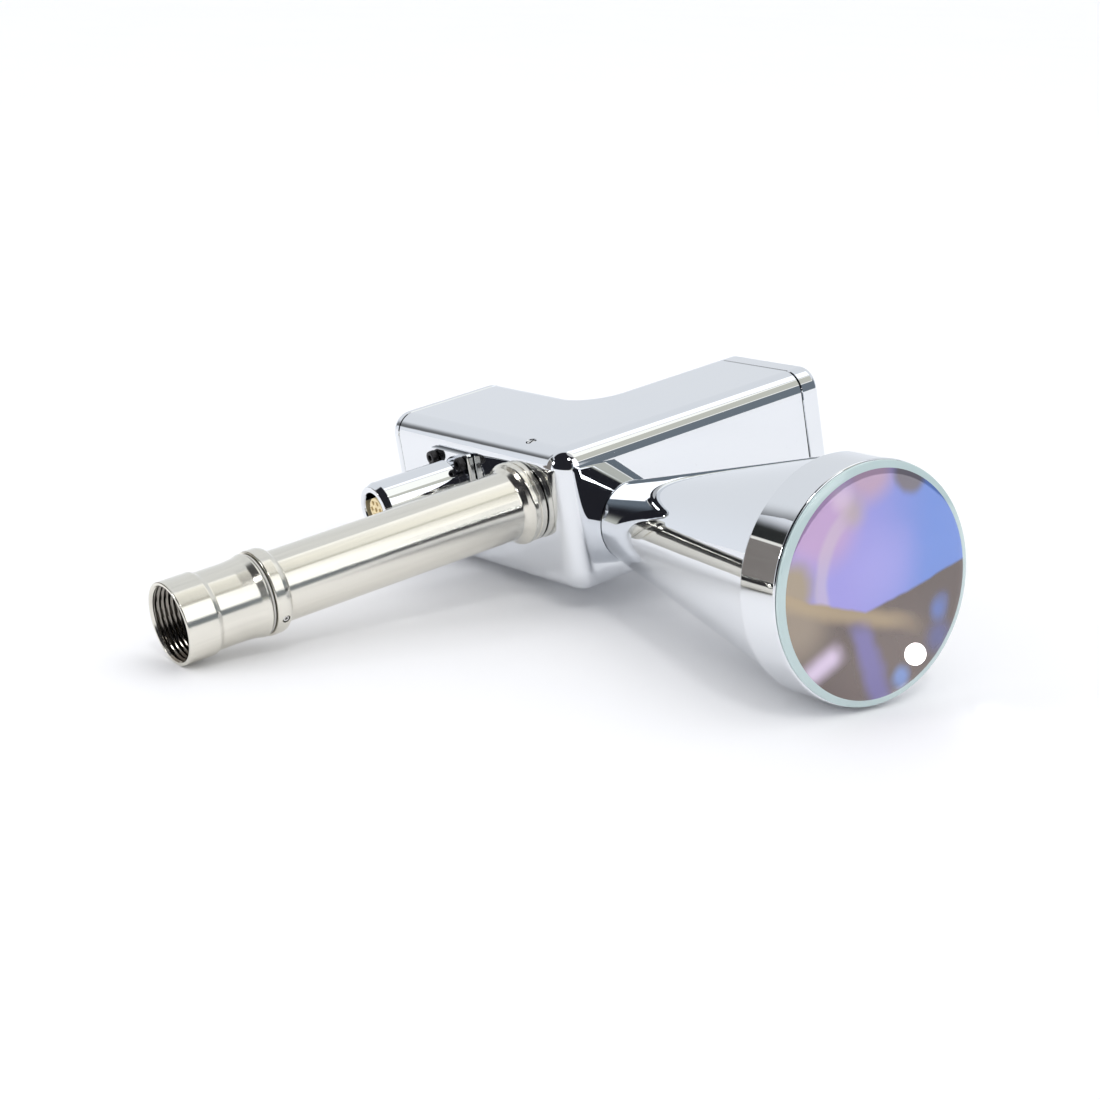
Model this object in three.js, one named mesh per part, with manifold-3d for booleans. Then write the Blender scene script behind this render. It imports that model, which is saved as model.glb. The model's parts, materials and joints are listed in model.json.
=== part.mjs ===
// Head of a laser-scanner otoscope: a chrome elbow housing with a scanner in one arm and the
// speculum seat on the other, a steel tube to an articulated arm, and a conical viewing magnifier.
// Millimetres, +Z up. The parts are drawn in the instrument's own axes and then laid down at rest:
// X runs along the scanner arm, Y along the speculum arm, Z up through the housing, and the origin is
// the housing's sharp outer corner at its base.

import * as THREE from 'three';
import { mergeVertices } from 'three/addons/utils/BufferGeometryUtils.js';
import Module from 'manifold-3d';

const wasm = await Module();
wasm.setup();

// ---- driving dimensions ------------------------------------------------------------------------

const GAP = 0.3;                 // clearance between neighbouring pieces
const SECTION = 46.8;            // width and height of both square arms
const EDGE_R = 6.9;              // rounded long edges of the housing
const CORNER_R = 7.4;            // outer vertical corner of the elbow
const ELBOW_R = 10;              // concave inner corner of the elbow
const WALL = 2.4;
const SCANNER_ARM = 98;          // from the outer corner to the cap seam
const SPECULUM_ARM = 96;
const SCANNER_CAP = 7.6;         // cap thickness, seam gap included
const SPECULUM_CAP = 4.5;
const CAP_BEVEL = 2.2;
const CAP_LIP = 2.5;             // how far a cap's lip enters its arm

const BEAM = { y: 23, z: 28.9 };       // tube and incoming beam, parallel to X
const SIGHT = { x: 24.6, z: 18.2 };    // viewing axis, parallel to Y
const PLUG = { y: 61, z: 29.2 };       // connector axis, parallel to X

const TUBE_R = 11;
const TUBE_BORE = 8.6;
const BEAD_R = 13.3;             // raised bead where the tube meets the housing
const COLLAR_R = 13.2;
const COLLAR_START = 91.8;       // distances along the tube from the housing face
const COLLAR_END = 97.4;
const NUT_START = 98.7;
const NUT_END = 126.2;
const NUT_R = 12.8;
const NUT_NECK_R = 12;
const THREAD_R = 11.36;
const THREAD_DEPTH = 0.55;
const THREAD_PITCH = 1.5;
const THREAD_TURNS = 6;

const CONE_START_R = 13;
const CONE_END_R = 34.4;
const CONE_LENGTH = 95.3;
const BEZEL_R = 35.2;
const BEZEL_END = 110.6;
const LENS_R = 34.9;

const PLUG_R = 8.8;
const PLUG_BORE = 5.85;
const PLUG_LENGTH = 33.5;
const PLUG_FLANGE = 22.6;        // side of the square flange
const PLUG_FLANGE_T = 2.2;
const PLUG_SCREW_PITCH = 16.6;

const MIRROR_X = 74;             // both scan mirrors sit above each other at this X
const MIRROR_R = 4.6;
const MOTOR_R = 5;

const ROUND_BIG = 40;            // sides of the turned pieces, by size
const ROUND_TUBE = 28;
const ROUND_MID = 16;
const ROUND_SMALL = 8;

const X = new THREE.Vector3(1, 0, 0);
const Y = new THREE.Vector3(0, 1, 0);
const Z = new THREE.Vector3(0, 0, 1);

// ---- materials ---------------------------------------------------------------------------------

const finish = (color, roughness, metalness) =>
  new THREE.MeshStandardMaterial({ color, roughness, metalness });

const chrome = finish(0xd8dce0, 0.05, 1);
const steel = finish(0xc9c6bd, 0.28, 1);
const darkMetal = finish(0x1f2023, 0.4, 0.8);
const gold = finish(0xcfa860, 0.3, 1);
const aluminium = finish(0x9aa0a6, 0.45, 1);
const rubber = finish(0x1a1a1a, 0.8, 0);
const polymer = finish(0xd8d2c0, 0.5, 0);
const mirrorCoat = finish(0xf0e0b0, 0.02, 1);
const board = finish(0x1f5a3a, 0.6, 0);
const glass = new THREE.MeshStandardMaterial({
  color: 0xbfd4ea, roughness: 0.02, metalness: 0, transparent: true, opacity: 0.35,
});
const tintedGlass = new THREE.MeshStandardMaterial({
  color: 0xe6c070, roughness: 0.05, metalness: 0, transparent: true, opacity: 0.5,
});

// ---- helpers -----------------------------------------------------------------------------------

const instrument = new THREE.Group();

// A direction and a start point as one matrix: local +Y runs along the direction.
const along = (direction, x, y, z) => {
  const turn = new THREE.Quaternion().setFromUnitVectors(Y, direction.clone().normalize());
  return new THREE.Matrix4().compose(new THREE.Vector3(x, y, z), turn, new THREE.Vector3(1, 1, 1));
};

const add = (name, geometry, material, matrix = new THREE.Matrix4()) => {
  const mesh = new THREE.Mesh(geometry, material);
  mesh.name = name;
  mesh.applyMatrix4(matrix);
  instrument.add(mesh);
  return mesh;
};

// Turned piece about local Y. The profile is a list of [radius, height] pairs.
const turned = (profile, sides) => {
  const points = profile.map(([r, h]) => new THREE.Vector2(r, h));
  return new THREE.LatheGeometry(points, sides);
};

// Turned ring: the profile closes on itself.
const ring = (profile, sides) => turned([...profile, profile[0]], sides);

const plainRing = (inner, outer, from, to, sides) =>
  ring([[inner, from], [outer, from], [outer, to], [inner, to]], sides);

const disc = (radius, from, to, sides) =>
  turned([[0, from], [radius, from], [radius, to], [0, to]], sides);

const block = (x0, x1, y0, y1, z0, z1) =>
  new THREE.BoxGeometry(x1 - x0, y1 - y0, z1 - z0).translate((x0 + x1) / 2, (y0 + y1) / 2, (z0 + z1) / 2);

// Geometry to solid, with shared corners merged and collapsed triangles dropped.
const solid = (geometry, matrix) => {
  const bare = geometry.index ? geometry.toNonIndexed() : geometry.clone();
  bare.deleteAttribute('normal');
  bare.deleteAttribute('uv');
  if (matrix) bare.applyMatrix4(matrix);
  const merged = mergeVertices(bare, 1e-4);
  const corners = [];
  for (let i = 0; i < merged.index.count; i += 3) {
    const [a, b, c] = [0, 1, 2].map((k) => merged.index.getX(i + k));
    if (a !== b && b !== c && c !== a) corners.push(a, b, c);
  }
  return new wasm.Manifold(new wasm.Mesh({
    numProp: 3,
    vertProperties: new Float32Array(merged.attributes.position.array),
    triVerts: new Uint32Array(corners),
  }));
};

const geometryOf = (manifold) => {
  const mesh = manifold.getMesh();
  const geometry = new THREE.BufferGeometry();
  geometry.setAttribute('position', new THREE.BufferAttribute(new Float32Array(mesh.vertProperties), 3));
  geometry.setIndex([...mesh.triVerts]);
  return geometry;
};

const cutAll = (body, cutters) => cutters.reduce((left, cutter) => left.subtract(cutter), body);

const joinAll = (body, extras) => extras.reduce((whole, extra) => whole.add(extra), body);

// Round hole or boss along a direction, as a solid.
const rod = (direction, x, y, z, radius, length, sides = ROUND_MID) =>
  solid(disc(radius, 0, length, sides), along(direction, x, y, z));

// Screw about local Y: the head's top is at 0, the shank points down -Y. A hexagonal socket is cut in.
const screw = (headR, headH, shankR, shankL, socketR) => {
  const body = solid(turned([
    [0, -headH - shankL], [shankR, -headH - shankL], [shankR, -headH],
    [headR, -headH], [headR, -0.3], [headR - 0.3, 0], [0, 0],
  ], ROUND_SMALL));
  const socket = solid(disc(socketR, -headH * 0.6, 1, 6));
  return geometryOf(body.subtract(socket));
};

// ---- housing -----------------------------------------------------------------------------------

// Plan of the elbow, drawn `inset` inside the outer walls. Both arms run on past their seams.
const elbowPlan = (inset, cornerR) => {
  const near = inset;
  const far = SECTION - inset;
  const past = 12;
  const centre = SECTION + ELBOW_R;
  const innerR = ELBOW_R + inset;
  const plan = new THREE.Shape();
  plan.moveTo(near + cornerR, near);
  plan.lineTo(SCANNER_ARM + past, near);
  plan.lineTo(SCANNER_ARM + past, far);
  plan.lineTo(centre, far);
  plan.absarc(centre, centre, innerR, -Math.PI / 2, Math.PI, true);
  plan.lineTo(far, SPECULUM_ARM + past);
  plan.lineTo(near, SPECULUM_ARM + past);
  plan.lineTo(near, near + cornerR);
  plan.absarc(near + cornerR, near + cornerR, cornerR, Math.PI, Math.PI * 1.5, false);
  return plan;
};

// Elbow with rounded long edges, standing on z = inset.
const elbow = (inset, cornerR, edgeR) => {
  const geometry = new THREE.ExtrudeGeometry(elbowPlan(inset, cornerR), {
    depth: SECTION - 2 * inset - 2 * edgeR,
    bevelThickness: edgeR,
    bevelSize: edgeR,
    bevelOffset: -edgeR,
    bevelSegments: 4,
    curveSegments: 5,
  });
  return solid(geometry.translate(0, 0, inset + edgeR));
};

const SCREW_INSET = 7;           // cap screws, from the arm's outer faces
const screwPlaces = [SCREW_INSET, SECTION - SCREW_INSET]
  .flatMap((a) => [SCREW_INSET, SECTION - SCREW_INSET].map((b) => [a, b]));

const plugScrewPlaces = [-1, 1].flatMap((a) => [-1, 1].map((b) => [
  PLUG.y + a * PLUG_SCREW_PITCH / 2,
  PLUG.z + b * PLUG_SCREW_PITCH / 2,
]));

const BOSS_LENGTH = 12;
const BOSS_R = 5.4;
const TUBE_BOSS_END = 12;
const SPIGOT_R = 9.6;            // tube spigot inside the housing
const SET_SCREW_X = 6;
const SET_SCREW_R = 1.45;
const LEDGE_Z = 36;              // underside of the circuit board's ledges

const housing = () => {
  const trim = solid(block(-1, SCANNER_ARM, -1, SPECULUM_ARM, -1, SECTION + 1));
  const inside = elbow(WALL, CORNER_R - WALL, EDGE_R - WALL);
  const bosses = screwPlaces.flatMap(([a, b]) => [
    rod(X, SCANNER_ARM - CAP_LIP - GAP - BOSS_LENGTH, a, b, BOSS_R, BOSS_LENGTH, ROUND_SMALL),
    rod(Y, a, SPECULUM_ARM - CAP_LIP - GAP - BOSS_LENGTH, b, BOSS_R, BOSS_LENGTH, ROUND_SMALL),
  ]);
  const tubeBoss = rod(X, 1, BEAM.y, BEAM.z, BEAD_R, TUBE_BOSS_END - 1, ROUND_TUBE);
  const setScrewBoss = solid(block(4, TUBE_BOSS_END - 1, BEAM.y - 5, BEAM.y + 5, 38, SECTION - 1));
  const ledges = [
    solid(block(1, 6, 44, 80, LEDGE_Z, LEDGE_Z + 2)),
    solid(block(SECTION - 6, SECTION - 1, 62, 80, LEDGE_Z, LEDGE_Z + 2)),
  ];
  const shell = elbow(0, CORNER_R, EDGE_R).subtract(inside);
  const whole = joinAll(shell, [...bosses, tubeBoss, setScrewBoss, ...ledges]).intersect(trim);
  const screwHoles = screwPlaces.flatMap(([a, b]) => [
    rod(X, SCANNER_ARM - 12, a, b, 1.6, 20, ROUND_SMALL),
    rod(Y, a, SPECULUM_ARM - 12, b, 1.6, 20, ROUND_SMALL),
  ]);
  const plugHoles = plugScrewPlaces.map(([y, z]) => rod(X, -2, y, z, 1.6, 6, ROUND_SMALL));
  return geometryOf(cutAll(whole, [
    rod(X, -2, BEAM.y, BEAM.z, SPIGOT_R + GAP, 20, ROUND_TUBE),
    rod(Y, SIGHT.x, -2, SIGHT.z, 11, 8, ROUND_TUBE),
    rod(X, -2, PLUG.y, PLUG.z, PLUG_BORE, 8),
    rod(Z, SET_SCREW_X, BEAM.y, 30, SET_SCREW_R + GAP, 20, ROUND_SMALL),
    ...screwHoles,
    ...plugHoles,
  ]));
};

add('housing', housing(), chrome);

// ---- end caps, seals and screws ----------------------------------------------------------------

const squarePlan = (side, cornerR) => {
  const h = side / 2;
  const k = h - cornerR;
  const plan = new THREE.Shape();
  plan.moveTo(-k, -h);
  plan.lineTo(k, -h);
  plan.absarc(k, -k, cornerR, -Math.PI / 2, 0, false);
  plan.lineTo(h, k);
  plan.absarc(k, k, cornerR, 0, Math.PI / 2, false);
  plan.lineTo(-k, h);
  plan.absarc(-k, k, cornerR, Math.PI / 2, Math.PI, false);
  plan.lineTo(-h, -k);
  plan.absarc(-k, -k, cornerR, Math.PI, Math.PI * 1.5, false);
  return plan;
};

// Slab in the XY plane between two heights, its centre on the axis.
const slab = (side, cornerR, from, to) => {
  const shape = { depth: to - from, bevelEnabled: false, curveSegments: 3 };
  return solid(new THREE.ExtrudeGeometry(squarePlan(side, cornerR), shape).translate(0, 0, from));
};

const LIP_SIDE = SECTION - 2 * (WALL + GAP);
const LIP_R = EDGE_R - WALL - GAP;
const SEAL_DEPTH = 1;
const COUNTERBORE_R = 2.7;
const SCREW_HEAD_H = 2;

// Cap about its own axis: local z = 0 is the arm's end, +z points out of the arm.
const endCap = (thickness, extraCuts) => {
  const plate = solid(new THREE.ExtrudeGeometry(squarePlan(SECTION, EDGE_R), {
    depth: thickness,
    bevelThickness: CAP_BEVEL,
    bevelSize: CAP_BEVEL,
    bevelOffset: -CAP_BEVEL,
    bevelSegments: 2,
    curveSegments: 4,
  }).translate(0, 0, -CAP_BEVEL));
  const half = SECTION / 2 + 1;
  const trimmed = plate.intersect(solid(block(-half, half, -half, half, GAP, thickness)));
  const lip = slab(LIP_SIDE, LIP_R, -CAP_LIP, thickness / 2);
  const groove = slab(LIP_SIDE + 2, LIP_R, -CAP_LIP + 0.5, -0.2)
    .subtract(slab(LIP_SIDE - 2 * SEAL_DEPTH - 2 * GAP, LIP_R - SEAL_DEPTH, -CAP_LIP, 0));
  const mid = SECTION / 2;
  const holes = screwPlaces.flatMap(([a, b]) => [
    rod(Z, a - mid, b - mid, -CAP_LIP - 1, 1.6, thickness + 6, ROUND_SMALL),
    rod(Z, a - mid, b - mid, thickness - SCREW_HEAD_H - GAP, COUNTERBORE_R, 6, ROUND_SMALL),
  ]);
  return cutAll(trimmed.add(lip), [groove, ...holes, ...extraCuts]);
};

const seal = () => geometryOf(slab(LIP_SIDE, LIP_R, -CAP_LIP + 0.5 + GAP, -0.2 - GAP)
  .subtract(slab(LIP_SIDE - 2 * SEAL_DEPTH, LIP_R - SEAL_DEPTH, -CAP_LIP, 0)));

// Local x, y, z of a cap to the instrument's axes.
const capFrame = (xAxis, yAxis, zAxis, x, y, z) =>
  new THREE.Matrix4().makeBasis(xAxis, yAxis, zAxis).setPosition(x, y, z);

const scannerEnd = capFrame(Y, Z, X, SCANNER_ARM, SECTION / 2, SECTION / 2);
const speculumEnd = capFrame(X.clone().negate(), Z, Y, SECTION / 2, SPECULUM_ARM, SECTION / 2);

const WINDOW_R = 8.4;
const SEAT_THREAD_R = 9.6;
const sightX = SECTION / 2 - SIGHT.x;      // viewing axis in the speculum cap's local axes
const sightY = SIGHT.z - SECTION / 2;

add('scanner_end_cap', geometryOf(endCap(SCANNER_CAP, [])), chrome, scannerEnd);
add('speculum_end_cap', geometryOf(endCap(SPECULUM_CAP, [
  rod(Z, sightX, sightY, -CAP_LIP - 1, WINDOW_R - 1.2, 12, ROUND_TUBE),
  rod(Z, sightX, sightY, -0.5, SEAT_THREAD_R + GAP, 12, ROUND_TUBE),
])), chrome, speculumEnd);
add('scanner_cap_seal', seal(), rubber, scannerEnd);
add('speculum_cap_seal', seal(), rubber, speculumEnd);

const capScrew = screw(2.3, SCREW_HEAD_H, 1.25, 9, 1.15);
screwPlaces.forEach(([a, b], i) => {
  const scannerTop = SCANNER_ARM + SCANNER_CAP - 0.1;
  const speculumTop = SPECULUM_ARM + SPECULUM_CAP - 0.1;
  add(`scanner_cap_screw_${i + 1}`, capScrew.clone(), steel, along(X, scannerTop, a, b));
  add(`speculum_cap_screw_${i + 1}`, capScrew.clone(), steel, along(Y, a, speculumTop, b));
});

// ---- exit window and speculum seat, on the viewing axis ----------------------------------------

const exitAxis = along(Y, SIGHT.x, SPECULUM_ARM, SIGHT.z);

add('exit_window', disc(WINDOW_R, -0.2, 1.6, ROUND_MID), tintedGlass, exitAxis);
add('speculum_seat', ring([
  [6.4, 1.9], [SEAT_THREAD_R, 1.9], [SEAT_THREAD_R, SPECULUM_CAP + GAP], [12.6, SPECULUM_CAP + GAP],
  [12.6, SPECULUM_CAP + 2.2], [9.4, SPECULUM_CAP + 2.2], [8.1, SPECULUM_CAP + 10], [7.6, SPECULUM_CAP + 10.5],
  [6.4, SPECULUM_CAP + 10.5],
], ROUND_TUBE), steel, exitAxis);

// ---- viewing cone, bezel and magnifier, on the viewing axis ------------------------------------

const viewAxis = along(Y.clone().negate(), SIGHT.x, 0, SIGHT.z);
const BEZEL_THREAD_R = 32.9;
const CONE_THREAD_END = 103;
const SPIGOT_IN = 7;             // how far the cone's spigot enters the housing

add('viewing_cone', ring([
  [9, -SPIGOT_IN], [10.7, -SPIGOT_IN], [10.7, GAP], [CONE_START_R, GAP], [CONE_END_R, CONE_LENGTH],
  [BEZEL_THREAD_R, CONE_LENGTH], [BEZEL_THREAD_R, CONE_THREAD_END], [31.3, CONE_THREAD_END],
  [31.3, CONE_LENGTH - 1], [11.2, 2], [9, 0],
], ROUND_BIG), chrome, viewAxis);
add('cone_lock_ring', plainRing(11, 12.4, -WALL - GAP - 3.4, -WALL - GAP, ROUND_MID), darkMetal, viewAxis);
add('lens_bezel', ring([
  [BEZEL_THREAD_R + GAP, CONE_LENGTH + GAP], [BEZEL_R - 0.6, CONE_LENGTH + GAP], [BEZEL_R, CONE_LENGTH + 0.9],
  [BEZEL_R, BEZEL_END - 0.5], [BEZEL_R - 0.4, BEZEL_END], [33.5, BEZEL_END],
], ROUND_BIG), chrome, viewAxis);

const KEEPER_START = CONE_THREAD_END + GAP;
const KEEPER_R = 30;             // bore of the ring that keeps the lens against the bezel
const LENS_REAR = KEEPER_START + 3 + GAP + 0.6;
const LENS_REAR_BULGE = 8;       // the rear face is the strongly curved one
const LENS_FRONT_BULGE = 1.2;
const LENS_SEAT_R = 33;
const LENS_FACE_R = 32.8;

add('lens_retaining_ring', plainRing(
  KEEPER_R, BEZEL_THREAD_R, KEEPER_START, KEEPER_START + 3, ROUND_BIG,
), darkMetal, viewAxis);

// Points of a bulging face from its rim to its centre, as a parabola.
const bulge = (radius, rim, height, steps) => Array.from({ length: steps + 1 }, (_, i) => {
  const r = radius * (1 - i / steps);
  return [r, rim + height * (1 - (r / radius) ** 2)];
});

add('viewing_lens', turned([
  ...bulge(KEEPER_R - 0.6, LENS_REAR, -LENS_REAR_BULGE, 4).reverse(),
  [LENS_SEAT_R, LENS_REAR], [LENS_SEAT_R, BEZEL_END + GAP], [LENS_R, BEZEL_END + GAP],
  [LENS_R, BEZEL_END + 1.1],
  ...bulge(LENS_FACE_R, BEZEL_END + 2, LENS_FRONT_BULGE, 2),
], ROUND_BIG), glass, viewAxis);

// ---- handle tube, collar and coupling nut, on the beam axis ------------------------------------

const tubeAxis = along(X.clone().negate(), 0, BEAM.y, BEAM.z);
const NOSE_R = 10.2;
const NOSE_END = 107;
const SNAP_START = 104.1;
const SNAP_END = 105.9;

add('handle_tube', ring([
  [TUBE_BORE, -8], [SPIGOT_R, -8], [SPIGOT_R, GAP], [BEAD_R - 0.7, GAP], [BEAD_R, 1.1], [BEAD_R, 4.6],
  [BEAD_R - 0.8, 5.7], [TUBE_R + 0.4, 6.5], [TUBE_R, 7.4], [TUBE_R, COLLAR_START - GAP],
  [NOSE_R, COLLAR_START - GAP], [NOSE_R, SNAP_START], [NOSE_R - 0.8, SNAP_START], [NOSE_R - 0.8, SNAP_END],
  [NOSE_R, SNAP_END], [NOSE_R, NOSE_END], [TUBE_BORE, NOSE_END],
], ROUND_TUBE), steel, tubeAxis);

const COLLAR_SCREW_S = (COLLAR_START + COLLAR_END) / 2;
const COLLAR_SCREW_TURN = THREE.MathUtils.degToRad(30);
const radial = new THREE.Vector3(0, -Math.cos(COLLAR_SCREW_TURN), -Math.sin(COLLAR_SCREW_TURN));
const radialFrom = (distance) => [
  -COLLAR_SCREW_S,
  BEAM.y + radial.y * distance,
  BEAM.z + radial.z * distance,
];

const collar = () => {
  const body = solid(ring([
    [NOSE_R + GAP, COLLAR_START], [12, COLLAR_START], [COLLAR_R - 0.3, COLLAR_START + 0.9],
    [COLLAR_R, COLLAR_START + 1.8], [COLLAR_R, COLLAR_END - 0.8], [COLLAR_R - 0.3, COLLAR_END],
    [NOSE_R + GAP, COLLAR_END],
  ], ROUND_TUBE), tubeAxis);
  const hole = rod(radial, ...radialFrom(8), 1.3, 8, ROUND_SMALL);
  return geometryOf(body.subtract(hole));
};

add('retaining_collar', collar(), steel);

const collarScrew = () => {
  const socket = solid(disc(0.55, 1, 3, 6));
  return geometryOf(solid(disc(1, 0, 2, ROUND_SMALL)).subtract(socket));
};

add('collar_set_screw', collarScrew(), darkMetal, along(radial, ...radialFrom(NOSE_R + 0.5)));
add('slip_washer', plainRing(
  NOSE_R + GAP, 12.2, COLLAR_END + GAP, NUT_START - GAP, ROUND_TUBE,
), polymer, tubeAxis);
add('snap_ring', plainRing(
  NOSE_R - 0.5, 10.95, SNAP_START + GAP, SNAP_END - GAP, ROUND_MID,
), darkMetal, tubeAxis);

// Crests and roots of the nut's internal thread, from its mouth inwards.
const threadProfile = () => {
  const points = [];
  for (let turn = 0; turn < THREAD_TURNS; turn += 1) {
    const mouth = NUT_END - 0.9 - turn * THREAD_PITCH;
    points.push([THREAD_R, mouth], [THREAD_R + THREAD_DEPTH, mouth - THREAD_PITCH / 2]);
  }
  points.push([THREAD_R, NUT_END - 0.9 - THREAD_TURNS * THREAD_PITCH]);
  return points;
};

add('coupling_nut', ring([
  [NOSE_R + GAP, NUT_START], [12.9, NUT_START], [12.8, NUT_START + 0.6], [12.2, NUT_START + 2.4],
  [NUT_NECK_R, NUT_START + 4], [NUT_NECK_R, 114.6], [NUT_R - 0.15, 115.6], [NUT_R, 116.4],
  [NUT_R, NUT_END - 0.5], [NUT_R - 0.4, NUT_END], [THREAD_R + 0.6, NUT_END],
  ...threadProfile(),
  [11.2, 115], [11.2, 103.8], [NOSE_R + GAP, 103.8],
], ROUND_TUBE), steel, tubeAxis);

// Focusing lens in its cell inside the tube.
add('lens_cell', ring([
  [6, 66], [TUBE_BORE - GAP, 66], [TUBE_BORE - GAP, 78], [7.3, 78], [7.3, 69.7], [6, 69.7],
], ROUND_MID), aluminium, tubeAxis);
add('focusing_lens', turned([[0, 70], [7, 70.4], [7, 72], [0, 73.2]], ROUND_MID), tintedGlass, tubeAxis);
add('lens_cell_ring', plainRing(5.6, 7, 73.6, 76, ROUND_MID), darkMetal, tubeAxis);

// ---- set screw that holds the tube in the housing ----------------------------------------------

const setScrew = () => {
  const foot = BEAM.z + SPIGOT_R + GAP;
  const top = SECTION - 0.5;
  const body = solid(disc(SET_SCREW_R, 0, top - foot, ROUND_SMALL));
  const slot = solid(block(-3, 3, top - foot - 0.8, top - foot + 1, -0.3, 0.3));
  return geometryOf(body.subtract(slot));
};

add('tube_set_screw', setScrew(), darkMetal, along(Z, SET_SCREW_X, BEAM.y, BEAM.z + SPIGOT_R + GAP));

// ---- multi-pin connector -----------------------------------------------------------------------

const plugAxis = along(X.clone().negate(), 0, PLUG.y, PLUG.z);
const INSERT_R = 3.9;
const INSERT_BORE = INSERT_R + GAP;
const CONTACT_R = 0.45;
const CONTACT_RING = 2.5;

const contactPlaces = [[0, 0], ...Array.from({ length: 6 }, (_, i) => {
  const turn = (i * Math.PI) / 3;
  return [CONTACT_RING * Math.cos(turn), CONTACT_RING * Math.sin(turn)];
})];

const plugShell = () => {
  const barrel = solid(ring([
    [INSERT_BORE, -3], [5.5, -3], [5.5, 0.4], [7.4, 0.4], [7.4, 4.6], [PLUG_R - 0.3, 4.6], [PLUG_R, 4.9],
    [PLUG_R, PLUG_LENGTH - 2.3], [7.9, PLUG_LENGTH], [PLUG_BORE + 0.35, PLUG_LENGTH],
    [PLUG_BORE, PLUG_LENGTH - 0.4], [PLUG_BORE, 22], [INSERT_BORE, 22],
  ], ROUND_TUBE));
  const h = PLUG_FLANGE / 2;
  const flange = solid(block(-h, h, GAP, GAP + PLUG_FLANGE_T, -h, h))
    .subtract(rod(Y, 0, -1, 0, 6.5, 6, ROUND_TUBE));
  const k = PLUG_SCREW_PITCH / 2;
  const holes = [-k, k].flatMap((a) => [-k, k].map((b) => rod(Y, a, -1, b, 1.6, 6, ROUND_SMALL)));
  return geometryOf(cutAll(barrel.add(flange), holes));
};

add('connector_shell', plugShell(), chrome, plugAxis);

const PLUG_SCREW_HEAD_H = 2.2;
const plugScrew = screw(2.2, PLUG_SCREW_HEAD_H, 1.25, 6, 1.1);
plugScrewPlaces.forEach(([y, z], i) => {
  const top = -(2 * GAP + PLUG_FLANGE_T + PLUG_SCREW_HEAD_H);
  add(`connector_screw_${i + 1}`, plugScrew.clone(), darkMetal, along(X.clone().negate(), top, y, z));
});

const insert = () => {
  const body = solid(disc(INSERT_R, -2, PLUG_LENGTH - 0.9, ROUND_MID));
  const holes = contactPlaces.map(([a, b]) => rod(Y, a, -4, b, CONTACT_R + GAP, PLUG_LENGTH + 6, 8));
  return geometryOf(cutAll(body, holes));
};

add('connector_insert', insert(), gold, plugAxis);
contactPlaces.forEach(([a, b], i) => {
  const contact = disc(CONTACT_R, -5, PLUG_LENGTH - 1.4, 8).translate(a, 0, b);
  add(`connector_contact_${i + 1}`, contact, gold, plugAxis);
});

// ---- scanner: two motors with spinning mirrors, in one bracket ---------------------------------

const MOTOR_START = 5;           // distances behind each mirror's face
const MOTOR_END = 16;
const BRACKET = {
  x0: 79,
  x1: 91,
  halfWidth: 9,
  z0: WALL + GAP,
  z1: SECTION - WALL - GAP,
};

const scanners = [
  { tag: 'upper', axis: new THREE.Vector3(1, 0, 1).normalize(), z: BEAM.z },
  { tag: 'lower', axis: new THREE.Vector3(1, 0, -1).normalize(), z: SIGHT.z },
];

const bracket = () => {
  const { x0, x1, halfWidth, z0, z1 } = BRACKET;
  const body = solid(block(x0, x1, BEAM.y - halfWidth, BEAM.y + halfWidth, z0, z1));
  const bores = scanners.map(({ axis, z }) => rod(axis, MIRROR_X, BEAM.y, z, MOTOR_R + GAP, 40));
  return geometryOf(cutAll(body, bores));
};

add('motor_bracket', bracket(), aluminium);
scanners.forEach(({ tag, axis, z }) => {
  const spin = along(axis, MIRROR_X, BEAM.y, z);
  add(`${tag}_scan_mirror`, disc(MIRROR_R, 0, 1.2, ROUND_MID), mirrorCoat, spin);
  add(`${tag}_mirror_hub`, turned([
    [0, 1.5], [3, 1.5], [3, 3.5], [1, 3.5], [1, 8.5], [0, 8.5],
  ], ROUND_MID), steel, spin);
  add(`${tag}_scan_motor`, turned([
    [0, 9], [1.3, 9], [1.3, MOTOR_START], [MOTOR_R - 0.5, MOTOR_START], [MOTOR_R, MOTOR_START + 0.5],
    [MOTOR_R, MOTOR_END], [0, MOTOR_END],
  ], ROUND_MID), steel, spin);
});

// ---- beam combiner at 45 degrees to the viewing axis -------------------------------------------

const COMBINER_R = 6;
const combinerAxis = along(new THREE.Vector3(1, 1, 0), SIGHT.x, BEAM.y, SIGHT.z);

// Standing frame in the combiner's own axes: the plate's normal is local Y and up is local Z.
const combinerFrame = () => {
  const frame = solid(block(-9, 9, -2, 2, WALL + GAP - SIGHT.z, COMBINER_R + 1.2));
  const foot = solid(block(-9, 9, -6, 6, WALL + GAP - SIGHT.z, WALL + GAP - SIGHT.z + 3));
  return geometryOf(frame.add(foot).subtract(rod(Y, 0, -4, 0, COMBINER_R + GAP, 8)));
};

add('combiner_mount', combinerFrame(), aluminium, combinerAxis);
add('beam_combiner', disc(COMBINER_R, -0.75, 0.75, ROUND_MID), tintedGlass, combinerAxis);

// ---- driver board on its ledges in the speculum arm --------------------------------------------

const driverBoard = () => {
  const under = LEDGE_Z + 2 + GAP;
  const sheet = solid(block(4, SECTION - 4, 52, 78, under, under + 1.6));
  const chips = [
    solid(block(10, 20, 56, 66, under + 1, under + 3.2)),
    solid(block(24, 30, 58, 72, under + 1, under + 2.8)),
    solid(block(10, 16, 70, 75, under + 1, under + 4)),
  ];
  return geometryOf(joinAll(sheet, chips));
};

add('driver_board', driverBoard(), board);

// ---- rest position -----------------------------------------------------------------------------

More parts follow.
